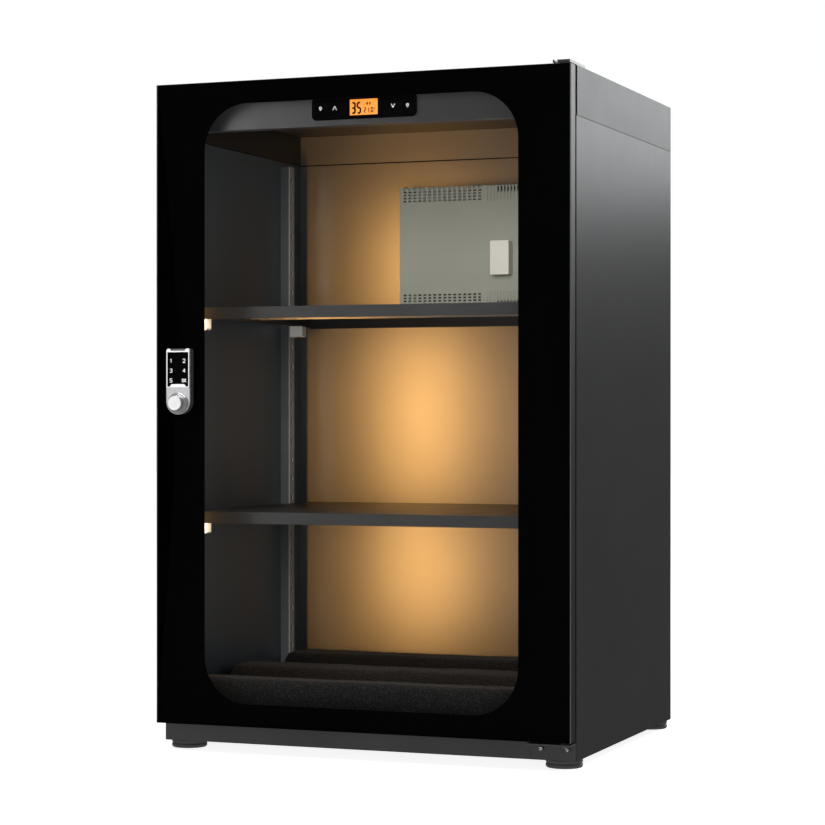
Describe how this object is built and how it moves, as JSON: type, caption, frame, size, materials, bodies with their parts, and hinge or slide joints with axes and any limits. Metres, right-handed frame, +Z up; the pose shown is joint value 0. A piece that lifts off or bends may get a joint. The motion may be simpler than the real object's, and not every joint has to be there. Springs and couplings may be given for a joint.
{
  "type": "desiccator cabinet",
  "caption": "Upright desiccator cabinet with a hinged glass door, a code lock, shelves on clips, a foam floor pad, a dehumidifier with a vent shutter, a humidity display and levelling feet.",
  "frame": {"origin": "middle of the footprint on the floor, at the undersides of the feet", "axes": "+Z up; -Y out of the glass door's front, +Y towards the back panel; +X to the right seen from the front, where the door's hinges are"},
  "size_m": [0.5848, 0.5132, 0.9036],
  "materials": {
    "cabinet_paint": "satin powder coat",
    "inner_paint": "satin powder coat, slightly glossy",
    "plated_steel": "zinc plated",
    "black_steel": "satin black",
    "light_strip": "clear coat over warm lamps",
    "panel_black": "high gloss",
    "display_orange": "backlit",
    "circuit_board": "solder mask",
    "black_plastic": "fine grain",
    "white_plastic": "smooth",
    "foam_dark": "open cell, dark",
    "housing_grey": "fine grain",
    "sensor_pale": "fine grain",
    "cartridge_white": "smooth",
    "plain_aluminium": "mill finish",
    "frame_aluminium": "anodised, satin",
    "clear_glass": "tempered, polished edges",
    "glass_border": "opaque black print on the glass",
    "seal_rubber": "matte",
    "lock_dark": "satin",
    "lock_silver": "satin chrome",
    "foot_rubber": "matte"
  },
  "bodies": {
    "cabinet": {"base_tray": "cabinet_paint", "floor_panel": "inner_paint", "side_panel_left": "cabinet_paint", "side_panel_right": "cabinet_paint", "back_panel": "inner_paint", "ceiling_panel": "inner_paint", "top_cap": "cabinet_paint", "cap_gasket": "seal_rubber", "header_bar": "cabinet_paint", "post_front_left": "inner_paint", "post_front_right": "inner_paint", "post_rear_left": "inner_paint", "post_rear_right": "inner_paint", "led_strip_left": "light_strip", "led_strip_right": "light_strip", "control_panel": "panel_black", "lcd_display": "display_orange", "control_board": "circuit_board", "power_jack": "black_plastic", "shelf_lower": "inner_paint", "shelf_upper": "inner_paint", "shelf_stiffeners": "inner_paint", "shelf_clips": "white_plastic", "foam_pad": "foam_dark", "dehumidifier_base": "housing_grey", "dehumidifier_cover": "housing_grey", "desiccant_cartridge": "cartridge_white", "heater_plate": "plain_aluminium", "dehumidifier_board": "circuit_board", "sensor_box": "sensor_pale", "dehumidifier_screws": "plated_steel", "shutter_motor": "plated_steel", "hinge_bracket_top": "plated_steel", "hinge_bracket_bottom": "black_steel", "hinge_pins": "black_steel", "hinge_washers": "black_plastic", "hinge_screws": "black_steel", "strike_plate": "plated_steel", "foot_nuts": "plated_steel"},
    "door": {"door_glass": "clear_glass", "door_mask": "glass_border", "door_stiles": "frame_aluminium", "door_rails": "frame_aluminium", "corner_keys": "black_plastic", "door_seal": "seal_rubber", "lock_housing": "lock_dark", "lock_bezel": "lock_silver", "lock_keypad": "panel_black", "lock_back_plate": "plated_steel", "lock_screws": "plated_steel"},
    "lock_turner": {"lock_knob": "lock_silver", "lock_spindle": "plated_steel", "lock_cam": "plated_steel", "cam_nut": "plated_steel"},
    "shutter": {"vent_shutter": "black_plastic", "shutter_shaft": "plated_steel"},
    "leveller_front_left": {"foot_front_left": "foot_rubber"},
    "leveller_front_right": {"foot_front_right": "foot_rubber"},
    "leveller_rear_left": {"foot_rear_left": "foot_rubber"},
    "leveller_rear_right": {"foot_rear_right": "foot_rubber"}
  },
  "joints": [
    {"name": "door_hinge", "type": "hinge", "parent": "cabinet", "child": "door", "pos_m": [0.2824, -0.22295, 0.468], "axis": [0, 0, 1], "range_deg": [0, 110]},
    {"name": "lock_turn", "type": "hinge", "parent": "door", "child": "lock_turner", "pos_m": [-0.2543, -0.24595, 0.469], "axis": [0, 1, 0], "range_deg": [0, 90]},
    {"name": "shutter_swing", "type": "hinge", "parent": "cabinet", "child": "shutter", "pos_m": [-0.048, 0.23905, 0.64303], "axis": [-1, 0, 0], "range_deg": [0, 60]},
    {"name": "foot_slide_front_left", "type": "slide", "parent": "cabinet", "child": "leveller_front_left", "axis": [0, 0, -1], "range_m": [0, 0.01]},
    {"name": "foot_slide_front_right", "type": "slide", "parent": "cabinet", "child": "leveller_front_right", "axis": [0, 0, -1], "range_m": [0, 0.01]},
    {"name": "foot_slide_rear_left", "type": "slide", "parent": "cabinet", "child": "leveller_rear_left", "axis": [0, 0, -1], "range_m": [0, 0.01]},
    {"name": "foot_slide_rear_right", "type": "slide", "parent": "cabinet", "child": "leveller_rear_right", "axis": [0, 0, -1], "range_m": [0, 0.01]}
  ]
}
